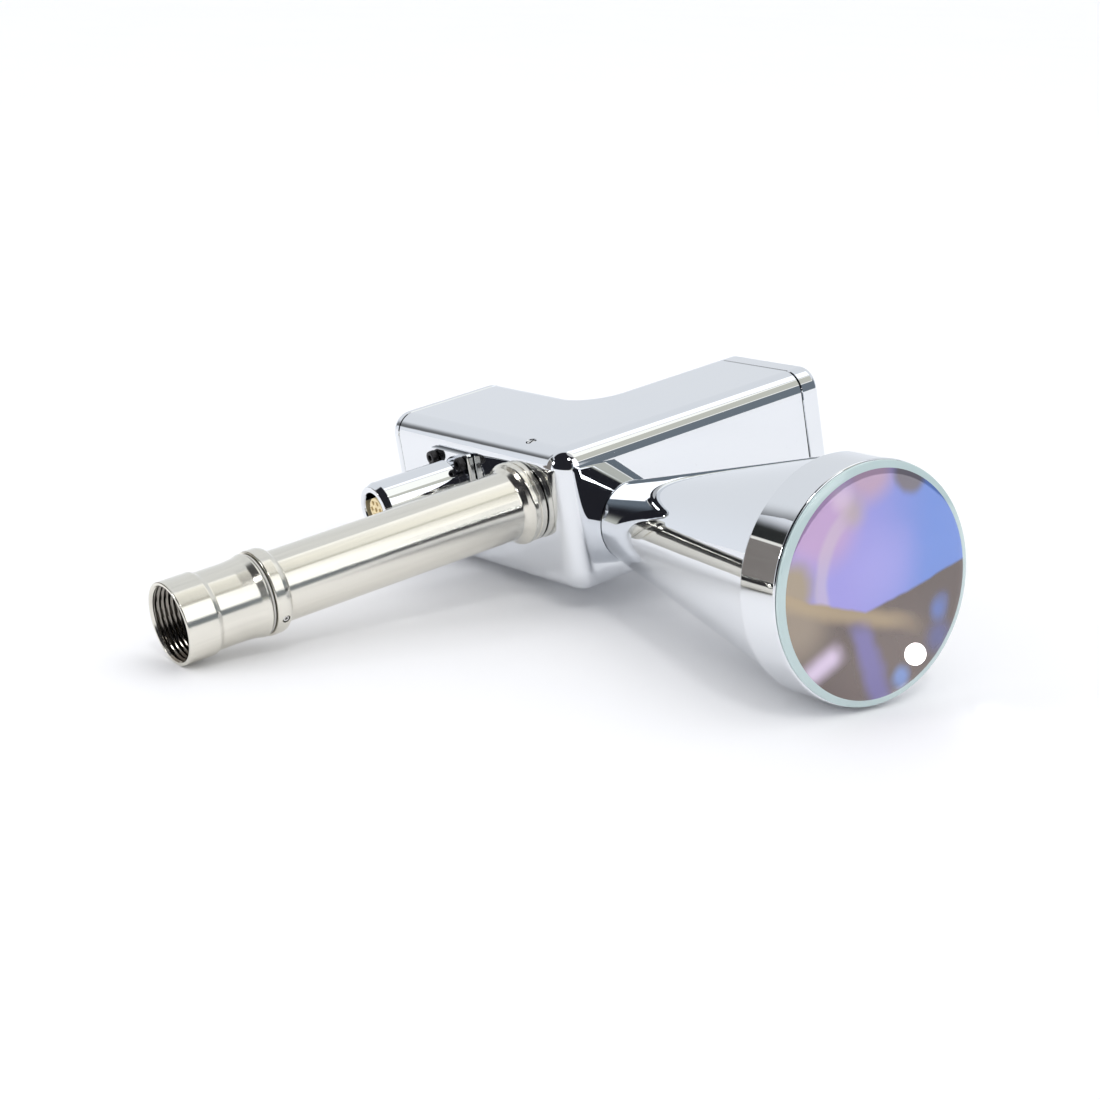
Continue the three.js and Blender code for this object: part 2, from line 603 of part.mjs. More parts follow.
// The instrument lies on the rims of its coupling nut and bezel and on one bottom corner of the
// speculum arm. Each lowest point depends on the tilt, so the plane through them is found in a few steps.
const lowestOnRim = (centre, axis, radius, up) => {
  const down = up.clone().negate();
  down.addScaledVector(axis, -down.dot(axis)).normalize();
  return centre.clone().addScaledVector(down, radius);
};

const restNormal = () => {
  const up = Z.clone();
  const nutMouth = new THREE.Vector3(-NUT_END + 0.5, BEAM.y, BEAM.z);
  const bezelBack = new THREE.Vector3(SIGHT.x, -CONE_LENGTH - 0.9, SIGHT.z);
  const capEdge = new THREE.Vector3(EDGE_R, SPECULUM_ARM + SPECULUM_CAP - CAP_BEVEL, EDGE_R);
  for (let step = 0; step < 8; step += 1) {
    const a = lowestOnRim(nutMouth, X, NUT_R, up);
    const b = lowestOnRim(bezelBack, Y, BEZEL_R, up);
    const c = lowestOnRim(capEdge, Y, EDGE_R, up);
    up.crossVectors(b.clone().sub(a), c.clone().sub(a)).normalize();
    if (up.z < 0) up.negate();
  }
  return up;
};

const up = restNormal();
const forward = X.clone().addScaledVector(up, -X.dot(up)).normalize();
const side = new THREE.Vector3().crossVectors(up, forward);
const lieDown = new THREE.Matrix4().makeBasis(forward, side, up).invert();
instrument.applyMatrix4(lieDown);

const part = new THREE.Group();
part.add(instrument);
const box = new THREE.Box3().setFromObject(part, true);
const centre = box.getCenter(new THREE.Vector3());
instrument.position.add(new THREE.Vector3(-centre.x, -centre.y, -box.min.z));

export default part;
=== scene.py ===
import json
import math

import bmesh
import bpy
from mathutils import Matrix, Vector


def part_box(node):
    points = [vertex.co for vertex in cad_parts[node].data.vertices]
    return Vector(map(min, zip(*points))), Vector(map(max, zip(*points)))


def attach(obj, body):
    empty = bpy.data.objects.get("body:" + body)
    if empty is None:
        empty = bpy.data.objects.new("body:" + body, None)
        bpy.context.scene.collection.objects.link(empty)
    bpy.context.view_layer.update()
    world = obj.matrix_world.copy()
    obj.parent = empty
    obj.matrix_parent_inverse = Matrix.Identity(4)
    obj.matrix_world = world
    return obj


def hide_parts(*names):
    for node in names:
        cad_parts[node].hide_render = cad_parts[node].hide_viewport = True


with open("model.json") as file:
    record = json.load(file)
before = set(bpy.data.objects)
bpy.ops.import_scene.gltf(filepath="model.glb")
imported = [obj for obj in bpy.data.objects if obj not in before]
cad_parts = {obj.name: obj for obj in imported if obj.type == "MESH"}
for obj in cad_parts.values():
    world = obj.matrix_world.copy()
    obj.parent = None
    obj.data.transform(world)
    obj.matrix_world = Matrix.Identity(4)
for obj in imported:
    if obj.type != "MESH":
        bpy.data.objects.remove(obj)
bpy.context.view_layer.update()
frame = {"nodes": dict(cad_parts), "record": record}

# The instrument's own axes, in millimetres: X along the scanner arm, Y along the speculum arm, Z up
# through the housing, origin at the housing's sharp outer corner at its base. They come from the
# record's mounts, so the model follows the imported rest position.

MM = 0.001
SECTION = 46.8                   # width and height of both square arms
EDGE_R = 6.9
CORNER_R = 7.4
ELBOW_R = 10.0
WALL = 2.4
SCANNER_ARM = 98.0
SPECULUM_ARM = 96.0
SCANNER_CAP = 7.6
SPECULUM_CAP = 4.5
BEAM = (0.0, 23.0, 28.9)
SIGHT = (24.6, 0.0, 18.2)
PLUG = (0.0, 61.0, 29.2)
SET_SCREW = (6.0, 23.0)
SEAM_CHAMFER = 0.25
GAP = 0.3                        # clearance between neighbouring pieces
TOP_MOUNT = (23.4, 46.0, SECTION)      # middle of the housing_top_face mount

mounts = {m["name"]: m for m in frame["record"]["mounts"]}
ex = Vector(mounts["scanner_cap_face"]["axis"]).normalized()
ey = Vector(mounts["speculum_stop_face"]["axis"]).normalized()
ez = ex.cross(ey).normalized()
ey = ez.cross(ex)
corner = (
    Vector(mounts["housing_top_face"]["pos_m"])
    - (ex * TOP_MOUNT[0] + ey * TOP_MOUNT[1] + ez * TOP_MOUNT[2]) * MM
)
BASE = Matrix.Translation(corner) @ Matrix((ex, ey, ez)).transposed().to_4x4()
LEVEL = BASE.to_3x3().transposed() @ Vector((0, 0, 1))     # straight up, in those axes


def axes(origin, along, up=(0, 0, 1)):
    """Local frame: Z runs along a direction of the instrument, X as near as can be to up."""
    z = Vector(along).normalized()
    x = Vector(up)
    x = (x - z * x.dot(z)).normalized()
    turn = Matrix((x, z.cross(x), z)).transposed().to_4x4()
    return BASE @ Matrix.Translation(Vector(origin) * MM) @ turn


TUBE = axes(BEAM, (-1, 0, 0), LEVEL)
VIEW = axes(SIGHT, (0, -1, 0), LEVEL)
SEAT = axes((SIGHT[0], SPECULUM_ARM, SIGHT[2]), (0, 1, 0))
SOCKET = axes(PLUG, (-1, 0, 0))
SCANNER_END = axes((SCANNER_ARM, SECTION / 2, SECTION / 2), (1, 0, 0))
SPECULUM_END = axes((SECTION / 2, SPECULUM_ARM, SECTION / 2), (0, 1, 0))


def moved(matrix, x, y, z=0.0):
    """The same frame with its origin moved, in its own millimetres."""
    return matrix @ Matrix.Translation(Vector((x, y, z)) * MM)


def named(prefix):
    """CAD nodes whose names start so, in order."""
    return sorted(n for n in frame["nodes"] if n.startswith(prefix))


def centre_in(matrix, name):
    """Middle of a CAD node's box, in a local frame's millimetres."""
    low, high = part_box(name)
    return matrix.inverted() @ ((low + high) / 2) / MM


# ---- mesh helpers ------------------------------------------------------------------------------

FINE_GUARD = 0.08                # length of the straight strip kept beside a fillet
GUARD_SHARE = 0.03               # and the most that it takes of a side
FILLET_SHARE = 0.46              # the most of a side that one fillet takes
SHARP_DEG = 30                   # edges bent more than this stay sharp
MERGE = 1e-7                     # metres; vertices closer than this become one


def finish_mesh(name, bm, matrix):
    """Object made from a bmesh in metres and placed by the matrix."""
    bmesh.ops.remove_doubles(bm, verts=bm.verts, dist=MERGE)
    bmesh.ops.recalc_face_normals(bm, faces=bm.faces)
    mesh = bpy.data.meshes.new(name)
    bm.to_mesh(mesh)
    bm.free()
    obj = bpy.data.objects.new(name, mesh)
    bpy.context.scene.collection.objects.link(obj)
    obj.matrix_world = matrix
    soften(obj)
    return obj


def soften(obj):
    """Smooth shading, apart from the sharp edges."""
    obj.data.shade_smooth()
    obj.data.set_sharp_from_angle(angle=math.radians(SHARP_DEG))


def rounded(points, closed=True, steps=6):
    """Profile with its corners rounded: (r, h) is sharp and (r, h, radius) is filleted.

    A guard point on each side of a fillet keeps the faces beside it straight in reflections.
    """
    out = []
    n = len(points)
    for i, (r, h, *f) in enumerate(points):
        p = Vector((r, h))
        if not f or (not closed and i in (0, n - 1)):
            out.append(p)
            continue
        back = Vector(points[i - 1][:2]) - p
        ahead = Vector(points[(i + 1) % n][:2]) - p
        u, v = back.normalized(), ahead.normalized()
        turn = math.pi - u.angle(v)
        room = FILLET_SHARE * min(back.length, ahead.length)
        t = min(f[0] * math.tan(turn / 2), room)
        radius = t / math.tan(turn / 2)
        centre = p + (u + v).normalized() * (radius / math.cos(turn / 2))
        spoke = p + u * t - centre
        sign = -1 if u.x * v.y - u.y * v.x > 0 else 1
        out.append(p + u * (t + min(FINE_GUARD, GUARD_SHARE * back.length)))
        for k in range(steps + 1):
            a = sign * turn * k / steps
            c, s = math.cos(a), math.sin(a)
            out.append(centre + Vector((spoke.x * c - spoke.y * s, spoke.x * s + spoke.y * c)))
        out.append(p + v * (t + min(FINE_GUARD, GUARD_SHARE * ahead.length)))
    return out


def lathe(name, matrix, profile, sides=128, closed=True, shape=None):
    """Turned piece about local Z. shape(angle, r, h) may change a point's radius."""
    bm = bmesh.new()
    rows = []
    for r, h in profile:
        if r == 0:
            rows.append([bm.verts.new((0, 0, h * MM))])
            continue
        row = []
        for k in range(sides):
            a = 2 * math.pi * k / sides
            q = shape(a, r, h) if shape else r
            row.append(bm.verts.new((q * MM * math.cos(a), q * MM * math.sin(a), h * MM)))
        rows.append(row)
    pairs = list(zip(rows, rows[1:])) + ([(rows[-1], rows[0])] if closed else [])
    for low, high in pairs:
        for k in range(sides):
            j = (k + 1) % sides
            if len(low) > 1 and len(high) > 1:
                bm.faces.new((low[k], low[j], high[j], high[k]))
            elif len(high) > 1:
                bm.faces.new((low[0], high[j], high[k]))
            elif len(low) > 1:
                bm.faces.new((low[k], low[j], high[0]))
    return finish_mesh(name, bm, matrix)


def loft(name, matrix, loops, ring=False):
    """Closed skin through loops of equal length, filled at both ends or joined end to end."""
    bm = bmesh.new()
    rows = [[bm.verts.new(Vector(p) * MM) for p in loop] for loop in loops]
    n = len(loops[0])
    pairs = list(zip(rows, rows[1:])) + ([(rows[-1], rows[0])] if ring else [])
    for low, high in pairs:
        for k in range(n):
            j = (k + 1) % n
            bm.faces.new((low[k], low[j], high[j], high[k]))
    if not ring:
        bm.faces.new(rows[0])
        bm.faces.new(rows[-1])
    return finish_mesh(name, bm, matrix)


def combine(obj, others, operation="DIFFERENCE"):
    """Boolean with each of the others, which are then removed."""
    for other in others:
        tool = obj.modifiers.new("cut", "BOOLEAN")
        tool.operation = operation
        tool.solver = "EXACT"
        tool.object = other
    bpy.context.view_layer.update()
    depsgraph = bpy.context.evaluated_depsgraph_get()
    mesh = bpy.data.meshes.new_from_object(obj.evaluated_get(depsgraph))
    obj.modifiers.clear()
    obj.data = mesh
    for other in others:
        bpy.data.objects.remove(other)
    soften(obj)
    return obj


def drill(matrix, radius, low, high, chamfer=0.0, sides=64):
    """Cutter for a round hole along local Z. With a chamfer, high is the flared mouth's face."""
    profile = [(0, low), (radius, low)]
    if chamfer:
        past = 2
        profile += [(radius, high - chamfer), (radius + chamfer + past, high + past)]
        high += past
    else:
        profile.append((radius, high))
    return lathe("cutter", matrix, profile + [(0, high)], sides, closed=False)


def circle(radius, h, n=48, wave=0.0, teeth=0):
    """Round loop at height h. Its teeth stand out by wave, a share of the radius."""
    points = []
    for k in range(n):
        a = 2 * math.pi * k / n
        r = radius * (1 + wave * math.cos(teeth * a))
        points.append((r * math.cos(a), r * math.sin(a), h))
    return points


def hexagon(flat, h, n=48):
    """Hexagonal loop at height h, its sides at the distance flat from the axis."""
    points = []
    for k in range(n):
        a = 2 * math.pi * k / n
        r = flat / math.cos(a % (math.pi / 3) - math.pi / 6)
        points.append((r * math.cos(a), r * math.sin(a), h))
    return points


def square(half, radius, h, steps=10):
    """Rounded square in the local XY plane, with guard points beside each corner's arc."""
    guard = FINE_GUARD
    k = half - radius
    points = []
    for quarter, (cx, cy) in enumerate([(k, k), (-k, k), (-k, -k), (k, -k)]):
        start = quarter * math.pi / 2
        c, s = math.cos(start), math.sin(start)
        points.append((cx + radius * c + guard * s, cy + radius * s - guard * c, h))
        for i in range(steps + 1):
            a = start + math.pi / 2 * i / steps
            points.append((cx + radius * math.cos(a), cy + radius * math.sin(a), h))
        c, s = math.cos(start + math.pi / 2), math.sin(start + math.pi / 2)
        points.append((cx + radius * c - guard * s, cy + radius * s + guard * c, h))
    return points


def screw(name, matrix, head_r, head_h, shank_r, shank_l, socket, knurl=0):
    """Socket-head screw along local Z, the head's top at 0. knurl is its number of ribs."""
    n = 96 if knurl else 48
    wave = 0.022 if knurl else 0.0
    chamfer = 0.3
    loops = [
        circle(shank_r * 0.6, -head_h - shank_l, n),
        circle(shank_r, -head_h - shank_l + 0.5, n),
        circle(shank_r, -head_h, n),
        circle(head_r - 0.15, -head_h, n),
        circle(head_r, -head_h + 0.15, n, wave, knurl),
        circle(head_r, -chamfer - 0.1, n, wave, knurl),
        circle(head_r - 0.08, -0.12, n),
        circle(head_r - chamfer, 0, n),
        circle(socket * 1.3 + 0.1, 0, n),
        hexagon(socket, -0.1, n),
        hexagon(socket, -0.6 * head_h, n),
        circle(0.2, -0.75 * head_h, n),
    ]
    return loft(name, matrix, loops)


# ---- material helpers --------------------------------------------------------------------------


class Nodes:
    """Short names for the shader nodes that the materials are made of."""

    def __init__(self, tree):
        self.tree = tree
        self.place = None

    def new(self, kind, inputs=(), **settings):
        node = self.tree.nodes.new("ShaderNode" + kind)
        for key, value in settings.items():
            setattr(node, key, value)
        for key, value in dict(inputs).items():
            self.put(node.inputs[key], value)
        return node

    def put(self, socket, value):
        if isinstance(value, bpy.types.NodeSocket):
            self.tree.links.new(value, socket)
        else:
            socket.default_value = value

    def where(self, scale=(1, 1, 1), offset=(0, 0, 0)):
        if self.place is None:
            self.place = self.new("TexCoord").outputs["Object"]
        node = self.new("Mapping", {0: self.place, "Scale": scale, "Location": offset})
        return node.outputs[0]

    def noise(self, scale, detail=3.0, stretch=(1, 1, 1), offset=(0, 0, 0), distortion=0.0):
        place = self.where(stretch, offset)
        inputs = {"Vector": place, "Scale": scale, "Detail": detail, "Distortion": distortion}
        return self.new("TexNoise", inputs).outputs[0]

    def spread(self, value, low, high, to_low=0.0, to_high=1.0):
        inputs = {0: value, 1: low, 2: high, 3: to_low, 4: to_high}
        return self.new("MapRange", inputs, interpolation_type="SMOOTHSTEP").outputs[0]

    def maths(self, operation, a, b=0.0):
        return self.new("Math", {0: a, 1: b}, operation=operation).outputs[0]

    def mix(self, fac, a, b):
        node = self.new("Mix", data_type="RGBA")
        self.put(node.inputs[0], fac)
        self.put(node.inputs[6], a)
        self.put(node.inputs[7], b)
        return node.outputs[2]

    def bump(self, height, strength, distance):
        inputs = {"Height": height, "Strength": strength, "Distance": distance}
        return self.new("Bump", inputs).outputs[0]


def rgb(r, g, b):
    return (r, g, b, 1.0)


def shaded(base, factor):
    """Colour made darker or lighter."""
    return rgb(*(min(1.0, c * factor) for c in base))


# Noise cells per metre along local X, Y and Z, where the noise's own scale is 1.
BRUSHED = (700, 700, 24)
TURNED_FINE = (30, 30, 5200)
TURNED_COARSE = (12, 12, 1500)


def material(name, build, **sockets):
    """One Principled material: build(nodes) gives its linked inputs, sockets its plain ones."""
    made = bpy.data.materials.new(name)
    made.use_nodes = True
    nodes = Nodes(made.node_tree)
    shader = made.node_tree.nodes["Principled BSDF"]
    for key, value in sockets.items():
        shader.inputs[key.replace("_", " ")].default_value = value
    for key, value in build(nodes).items():
        nodes.put(shader.inputs[key], value)
    return made


def metal(base, rough, scale, shade, bump=0.0, lines=0.0):
    """Metal with stains and uneven polish. With lines it is brushed along local Z and turned."""
    def build(n):
        stain = n.noise(1.0, 3.0, stretch=BRUSHED) if lines else n.noise(scale, 4.0)
        dark, light = shaded(base, 1 - shade), shaded(base, 1 + shade)
        haze = n.noise(scale * 0.35, 5.0, offset=(3, 1, 2))
        out = {
            "Base Color": n.mix(stain, dark, light),
            "Roughness": n.spread(haze, 0.3, 0.7, rough[0], rough[1]),
        }
        if lines:
            fine = n.noise(1.0, 2.0, stretch=TURNED_FINE)
            coarse = n.noise(1.0, 2.0, stretch=TURNED_COARSE, offset=(0, 0, 7))
            both = n.maths("ADD", fine, coarse)
            out["Normal"] = n.bump(both, lines, 0.00002)
        elif bump:
            out["Normal"] = n.bump(n.noise(scale * 2, 6.0), bump, 0.00003)
        return out
    return build


def chrome_nodes(n):
    """Plated mirror: faint waviness from polishing, a few dull smears and dust specks."""
    wave = n.noise(55.0, 2.0)
    smear = n.noise(38.0, 5.0, stretch=(1, 1, 0.5), offset=(1, 2, 3), distortion=0.6)
    speck = n.noise(2600.0, 1.0, offset=(5, 5, 5))
    dust = n.spread(speck, 0.74, 0.8)
    clean = n.spread(smear, 0.55, 0.8, 0.025, 0.06)
    tint = n.mix(n.noise(25.0, 2.0), rgb(0.80, 0.825, 0.86), rgb(0.83, 0.845, 0.865))
    return {
        "Base Color": n.mix(n.maths("MULTIPLY", dust, 0.35), tint, rgb(0.6, 0.6, 0.6)),
        "Roughness": n.maths("ADD", clean, n.maths("MULTIPLY", dust, 0.2)),
        "Normal": n.bump(wave, 0.12, 0.0002),
    }


# Patches of the painted reflection on the lens coating, in lens radii: across, up, inner and outer
# radius, strength, colour.
# The upper ones lie on a violet to blue ground, the lower ones on brown.
PALE_PATCHES = (
    (-0.62, 0.62, 0.22, 0.55, 0.95, rgb(0.56, 0.37, 0.62)),
    (-0.08, 0.95, 0.12, 0.36, 0.90, rgb(0.56, 0.38, 0.50)),
    (-0.26, 0.64, 0.02, 0.20, 0.70, rgb(0.50, 0.41, 0.36)),
    (-0.37, 0.77, 0.02, 0.18, 0.50, rgb(0.80, 0.66, 0.78)),
    (0.34, 0.86, 0.12, 0.22, 0.90, rgb(0.20, 0.165, 0.155)),
    (0.05, 0.15, 0.05, 0.50, 0.50, rgb(0.44, 0.40, 0.84)),
)
STRAW_PATCH = (-0.90, 0.06, 0.12, 0.32, 0.95, rgb(0.40, 0.32, 0.20))
DARK_PATCHES = (
    (0.68, -0.52, 0.02, 0.22, 0.70, rgb(0.12, 0.14, 0.38)),
    (0.67, -0.28, 0.02, 0.16, 0.60, rgb(0.14, 0.26, 0.74)),
)
BLUE_PATCH = (0.25, -0.81, 0.03, 0.14, 0.80, rgb(0.24, 0.38, 0.80))
LENS_R = 0.035


def lens_nodes(n):
    """Coated magnifier: the coating's reflections, from violet through blue to straw and brown, are
    painted into its colour.
    """
    split = n.new("SeparateXYZ", {0: n.where((1 / LENS_R, 1 / LENS_R, 1 / LENS_R))})
    wander = n.maths("SUBTRACT", n.noise(60.0, 3.0, offset=(2, 0, 1)), 0.5)
    soft = n.maths("MULTIPLY", wander, 0.12)
    across = n.maths("ADD", n.maths("MULTIPLY", split.outputs[1], -1.0), soft)
    up = n.maths("ADD", split.outputs[0], soft)
    flat = n.new("CombineXYZ", {0: across, 1: up}).outputs[0]

    def both(a, b):
        return n.maths("MULTIPLY", a, b)

    def line(across_part, up_part, constant):
        """Linear ramp: across_part * across + up_part * up + constant."""
        mixed = n.maths("ADD", both(across, across_part), both(up, up_part))
        return n.maths("ADD", mixed, constant)

    def reach(x, y):
        node = n.new("VectorMath", {0: flat, 1: (x, y, 0)}, operation="DISTANCE")
        return node.outputs["Value"]

    def blob(x, y, inner, outer, strength=1.0):
        return n.spread(reach(x, y), outer, inner, 0.0, strength)

    def band(amount, inner, outer, strength=1.0):
        return n.spread(n.maths("ABSOLUTE", amount), outer, inner, 0.0, strength)

    def patched(ground, patches):
        for *shape, colour in patches:
            ground = n.mix(blob(*shape), ground, colour)
        return ground

    # Upper part of the painted reflection: violet at the left, blue at the right, a pale inner ring
    # and straw at the edge.
    high = n.mix(n.spread(across, -0.35, 0.65), rgb(0.36, 0.33, 0.78), rgb(0.17, 0.29, 0.74))
    high = patched(high, PALE_PATCHES)
    ring = band(n.maths("SUBTRACT", reach(0.0, 0.1), 0.595), 0.03, 0.09, 0.6)
    high = n.mix(both(ring, n.spread(across, -0.22, -0.46)), high, rgb(0.62, 0.52, 0.62))
    high = patched(high, (STRAW_PATCH,))
    # Lower part of the painted reflection: brown with a straw band, a violet streak and paler
    # patches.
    low = n.mix(blob(0.1, -0.7, 0.1, 0.9), rgb(0.135, 0.10, 0.09), rgb(0.185, 0.14, 0.125))
    low = n.mix(blob(-0.85, -0.2, 0.1, 0.5, 0.9), low, rgb(0.36, 0.29, 0.22))
    straw = both(band(line(0.30, 1.0, 0.27), 0.01, 0.14, 0.75), n.spread(across, 0.62, 0.0))
    low = n.mix(straw, low, rgb(0.50, 0.38, 0.23))
    streak = both(band(line(1.0, 0.397, 0.324), 0.03, 0.17, 0.9), n.spread(up, -0.2, -0.4))
    low = n.mix(streak, low, rgb(0.22, 0.19, 0.46))
    low = patched(low, DARK_PATCHES)
    # Pale pink capsule: a painted highlight, the reflection of a lamp in the lens.
    painted_lamp_glint = both(band(line(-0.486, 0.874, 0.221), 0.0, 0.16),
                   band(line(0.874, 0.486, 0.78), 0.1, 0.28, 0.95))
    low = n.mix(painted_lamp_glint, low, rgb(0.80, 0.66, 0.86))
    low = patched(low, (BLUE_PATCH,))
    edge = n.maths("MAXIMUM", line(0.25, 0.0, -0.155), line(-0.30, 0.0, -0.23))
    level = n.maths("SUBTRACT", up, edge)
    return {
        "Base Color": n.mix(n.spread(level, -0.02, 0.02), low, high),
        "Roughness": n.spread(n.noise(400.0, 3.0), 0.4, 0.7, 0.0, 0.015),
    }


def lens_edge_nodes(n):
    """Ground rim of the lens, a pale green ring."""
    return {
        "Base Color": n.mix(n.noise(90.0, 3.0), rgb(0.42, 0.53, 0.54), rgb(0.50, 0.61, 0.61)),
        "Roughness": n.spread(n.noise(300.0, 3.0), 0.3, 0.7, 0.12, 0.22),
    }


def window_nodes(n):
    """Amber glass of the small optics."""
    return {
        "Base Color": n.mix(n.noise(150.0, 2.0), rgb(0.80, 0.52, 0.16), rgb(0.9, 0.64, 0.25)),
        "Roughness": n.spread(n.noise(500.0, 3.0), 0.4, 0.7, 0.02, 0.06),
    }


def board_nodes(n):
    """Circuit board with fine tracks under green varnish."""
    track = n.noise(700.0, 1.0, stretch=(1, 0.15, 1))
    mask = n.spread(track, 0.5, 0.53)
    return {
        "Base Color": n.mix(mask, rgb(0.012, 0.09, 0.035), rgb(0.03, 0.17, 0.06)),
        "Roughness": n.spread(n.noise(900.0, 3.0), 0.3, 0.7, 0.35, 0.55),
        "Normal": n.bump(mask, 0.2, 0.00004),
    }


def plain_nodes(base, rough, scale, bump):
    """Plastic, rubber or paint with a mottled colour and a fine grain."""
    def build(n):
        return {
            "Base Color": n.mix(n.noise(scale, 4.0), shaded(base, 0.82), shaded(base, 1.15)),
            "Roughness": n.spread(n.noise(scale * 1.7, 4.0), 0.3, 0.7, rough - 0.07, rough + 0.07),
            "Normal": n.bump(n.noise(scale * 3, 5.0), bump, 0.00004),
        }
    return build


CHROME = material("chrome", chrome_nodes, Metallic=1.0)
SATIN = material(
    "satin_steel",
    metal((0.80, 0.775, 0.70), (0.18, 0.24), 60.0, 0.07, lines=0.22),
    Metallic=1.0, Anisotropic=0.7, Anisotropic_Rotation=0.25,
)
BRIGHT = material(
    "bright_steel", metal((0.74, 0.73, 0.71), (0.1, 0.2), 500.0, 0.05, lines=0.2), Metallic=1.0,
)
BLACK = material(
    "black_oxide", metal((0.035, 0.034, 0.036), (0.25, 0.42), 900.0, 0.3, bump=0.3), Metallic=0.7,
)
BAFFLE = material("baffle_black", plain_nodes((0.012, 0.012, 0.014), 0.5, 700.0, 0.3))
GOLD = material("gold", metal((0.83, 0.62, 0.28), (0.15, 0.3), 900.0, 0.08, bump=0.1), Metallic=1.0)
INSERT = material("insert_resin", plain_nodes((0.86, 0.71, 0.42), 0.42, 1400.0, 0.2))
ALUMINIUM = material(
    "aluminium", metal((0.62, 0.63, 0.65), (0.35, 0.5), 800.0, 0.08, bump=0.4), Metallic=1.0,
)
RUBBER = material("rubber", plain_nodes((0.02, 0.02, 0.02), 0.75, 1500.0, 0.5))
POLYMER = material("polymer", plain_nodes((0.50, 0.49, 0.46), 0.4, 900.0, 0.2))
MIRROR = material(
    "mirror_coat", metal((0.93, 0.80, 0.52), (0.01, 0.03), 300.0, 0.03), Metallic=1.0,
)
BOARD = material("circuit_board", board_nodes)
LENS = material(
    "coated_lens", lens_nodes, Metallic=0.4, IOR=1.6, Transmission_Weight=0.2, Coat_Weight=1.0,
)
LENS_EDGE = material("lens_edge", lens_edge_nodes, IOR=1.5, Coat_Weight=1.0)
# Darker steel for the nut's bore and thread: painted shade in the recess.
THREAD = material(
    "bore_steel_painted_shade", metal((0.30, 0.28, 0.25), (0.12, 0.22), 400.0, 0.12, bump=0.1), Metallic=1.0,
)
WINDOW = material("window", window_nodes, IOR=1.5, Transmission_Weight=0.75)


def settle(obj):
    """Moves a piece's place from its object into its mesh, so that its box is tight."""
    obj.data.transform(obj.matrix_world)
    obj.matrix_world = Matrix.Identity(4)
    return obj


def piece(obj, body, slot, node, *materials):
    """Gives a finished mesh its materials and its body, and hides the CAD node that it stands for.
    """
    for m in materials:
        obj.data.materials.append(m)
    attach(obj, body)
    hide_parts(node)
    return obj


def paint(obj, test):
    """Second material on the faces whose centre passes the test, in local millimetres."""
    for face in obj.data.polygons:
        c = face.center / MM
        if test(math.hypot(c.x, c.y), c.z):
            face.material_index = 1


# ---- housing -----------------------------------------------------------------------------------

ARC_STEPS = 20
FILLET_STEPS = 14
GUARD = 0.12


def chain(side, inset):
    """Plan points of one wall at every station, inset into the metal."""
    if side == "outer":
        centre, radius, wall = CORNER_R, max(CORNER_R - inset, 0.05), inset
    else:
        centre, radius, wall = SECTION + ELBOW_R, ELBOW_R + inset, SECTION - inset
    arc = [math.pi + math.pi / 2 * k / ARC_STEPS for k in range(ARC_STEPS + 1)]
    ends = [0.0, SEAM_CHAMFER, 8, 18, 28]
    points = [(wall, SPECULUM_ARM - t) for t in ends]
    points.append((wall, centre + GUARD))
    points += [(centre + radius * math.cos(a), centre + radius * math.sin(a)) for a in arc]
    points.append((centre + GUARD, wall))
    points += [(SCANNER_ARM - t, wall) for t in reversed(ends)]
    return points


def arm_section(depth):
    """Section of an arm as (wall, inset, z), once round, drawn depth inside the outer skin."""
    r = EDGE_R - depth
    quarter = [math.pi / 2 * k / FILLET_STEPS for k in range(FILLET_STEPS + 1)]
    rise = [(depth + r * (1 - math.sin(a)), depth + r * (1 - math.cos(a))) for a in quarter]
    wall = [(depth + r + GUARD, depth)] + rise + [(depth, EDGE_R + GUARD)]
    up = wall + [(inset, SECTION - z) for inset, z in reversed(wall)]
    return [("outer", i, z) for i, z in up] + [("inner", i, z) for i, z in reversed(up)]


def housing_shell():
    """Outer skin and cavity of the elbow, with a chamfer round each arm's open end."""
    middle = SECTION / 2
    shrink = 1 - 2 * SEAM_CHAMFER / SECTION
    skins = []
    for depth in (0.0, WALL):
        section = arm_section(depth)
        lanes = [chain(side, inset) for side, inset, _ in section]
        skin = [[(*lane[k], z) for lane, (_, _, z) in zip(lanes, section)]
                for k in range(len(lanes[0]))]
        if depth == 0.0:
            skin[0] = [(middle + (x - middle) * shrink, y, middle + (z - middle) * shrink)
                       for x, y, z in skin[0]]
            skin[-1] = [(x, middle + (y - middle) * shrink, middle + (z - middle) * shrink)
                        for x, y, z in skin[-1]]
        skins.append(skin)
    outer, cavity = skins
    return loft("elbow_shell", BASE, outer + cavity[::-1], ring=True)


shell = housing_shell()
PLUG_PITCH = 8.3                 # connector screws, from the socket's axis
SCREW_HOLE_R = 1.6
plug_screws = [(a * PLUG_PITCH, b * PLUG_PITCH) for a in (-1, 1) for b in (-1, 1)]
cutters = [
    drill(TUBE, 9.9, -14, 2),
    drill(VIEW, 11.0, -6, 2),
    drill(SOCKET, 5.85, -6, 2),
    drill(axes((*SET_SCREW, 0), (0, 0, 1), (1, 0, 0)), 1.75, 40, SECTION, 0.25),
]
for a, b in plug_screws:
    cutters.append(drill(moved(SOCKET, a, b), SCREW_HOLE_R, -6, 2, sides=32))
combine(shell, cutters)
piece(settle(shell), "head", "chrome", "housing", CHROME)

# ---- end caps and their screws -----------------------------------------------------------------

SCREW_INSET = 16.4               # cap screws, from the arm's axis
cap_screws = [(a * SCREW_INSET, b * SCREW_INSET) for a in (-1, 1) for b in (-1, 1)]


